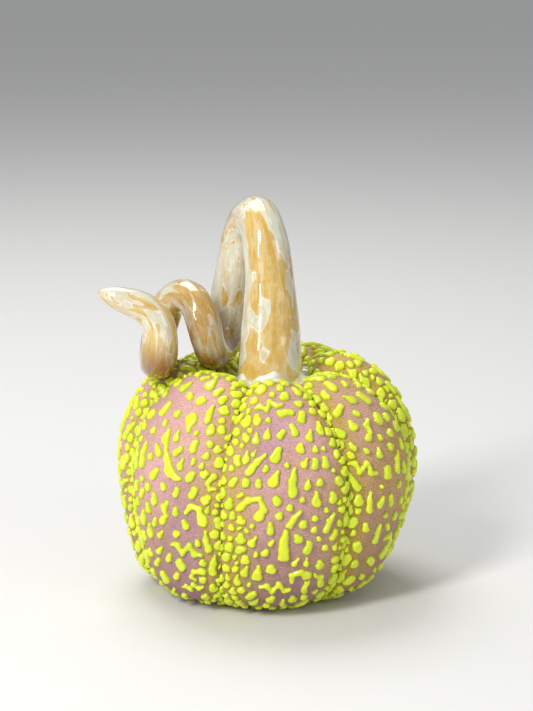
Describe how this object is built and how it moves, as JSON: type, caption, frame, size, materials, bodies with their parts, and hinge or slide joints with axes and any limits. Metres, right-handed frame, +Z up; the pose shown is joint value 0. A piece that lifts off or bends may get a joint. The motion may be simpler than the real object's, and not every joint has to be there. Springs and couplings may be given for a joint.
{
  "type": "ceramic pumpkin",
  "caption": "Hollow lobed ceramic pumpkin with a flat foot and a glazed rope stem that arches over and ends in a curled tendril.",
  "frame": {"origin": "centre of the flat foot, on the surface the pumpkin rests on", "axes": "+Z up; -Y is the front, and the tendril reaches toward -X"},
  "size_m": [0.1136, 0.1063, 0.1432],
  "materials": {
    "body": "matte",
    "stem_glaze": "gloss"
  },
  "bodies": {
    "root": {"pumpkin_body": "body", "stem_coil": "stem_glaze"}
  },
  "joints": []
}
